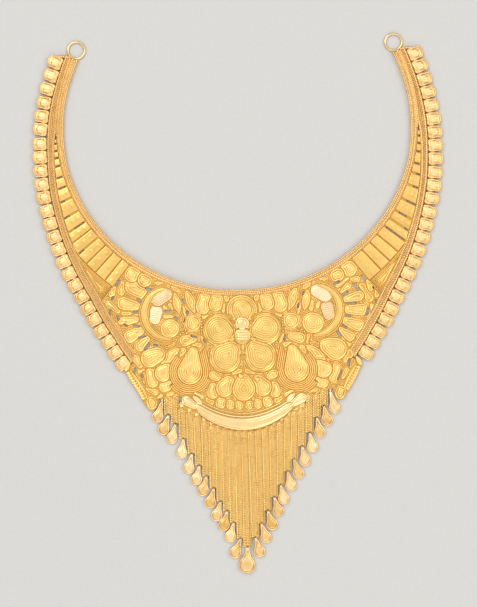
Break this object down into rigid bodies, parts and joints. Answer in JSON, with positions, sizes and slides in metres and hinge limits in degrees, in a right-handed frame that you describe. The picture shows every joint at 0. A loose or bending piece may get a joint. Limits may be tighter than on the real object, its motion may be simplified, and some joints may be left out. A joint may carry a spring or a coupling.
{
  "type": "gold collar necklace",
  "caption": "Open gold collar necklace with scalloped edges, a pierced floral bib, a crescent bar, a pointed curtain of fine chains ending in flat teardrops, and a plain ring at each end.",
  "frame": {"origin": "middle of the whole outline seen from above, on the floor that the necklace lies on", "axes": "+Z out of the front, up from the floor; +Y along the longest side towards the collar's open ends; +X across, to the right of the front view; the shortest side is along Z"},
  "size_m": [0.1476, 0.193, 0.0039],
  "materials": {
    "polished_gold": "polished",
    "granulated_gold": "granulated and twisted wire",
    "pale_matte_gold": "pale, frosted",
    "chased_gold": "chased and pierced sheet",
    "scallop_gold": "stamped, bright rims",
    "woven_chain_gold": "fine woven chain",
    "rimmed_gold": "satin face, polished raised rim"
  },
  "bodies": {
    "root": {"neck_rail": "granulated_gold", "outer_rail_left": "granulated_gold", "outer_rail_right": "granulated_gold", "ladder_left": "chased_gold", "ladder_right": "chased_gold", "scallops_left": "scallop_gold", "scallops_right": "scallop_gold", "end_ring_left": "polished_gold", "end_ring_right": "polished_gold", "bib_plate": "chased_gold", "centre_flower": "chased_gold", "flower_boss": "polished_gold", "arch": "chased_gold", "top_leaves_left": "chased_gold", "top_leaves_right": "chased_gold", "side_flower_left": "pale_matte_gold", "side_flower_right": "pale_matte_gold", "side_fan_left": "chased_gold", "side_fan_right": "chased_gold", "paisley_left": "chased_gold", "paisley_right": "chased_gold", "lobes_left": "chased_gold", "lobes_right": "chased_gold", "feather_left": "chased_gold", "feather_right": "chased_gold", "shell_lobes": "chased_gold", "leaf_row": "chased_gold", "crescent_bar": "polished_gold", "chains_left_outer": "woven_chain_gold", "chains_left": "woven_chain_gold", "chains_centre": "woven_chain_gold", "chains_right": "woven_chain_gold", "chains_right_outer": "woven_chain_gold", "drop_l12": "rimmed_gold", "drop_l11": "rimmed_gold", "drop_l10": "rimmed_gold", "drop_l09": "rimmed_gold", "drop_l08": "rimmed_gold", "drop_l07": "rimmed_gold", "drop_l06": "rimmed_gold", "drop_l05": "rimmed_gold", "drop_l04": "rimmed_gold", "drop_l03": "rimmed_gold", "drop_l02": "rimmed_gold", "drop_l01": "rimmed_gold", "drop_centre": "rimmed_gold", "drop_r01": "rimmed_gold", "drop_r02": "rimmed_gold", "drop_r03": "rimmed_gold", "drop_r04": "rimmed_gold", "drop_r05": "rimmed_gold", "drop_r06": "rimmed_gold", "drop_r07": "rimmed_gold", "drop_r08": "rimmed_gold", "drop_r09": "rimmed_gold", "drop_r10": "rimmed_gold", "drop_r11": "rimmed_gold", "drop_r12": "rimmed_gold"}
  },
  "joints": []
}
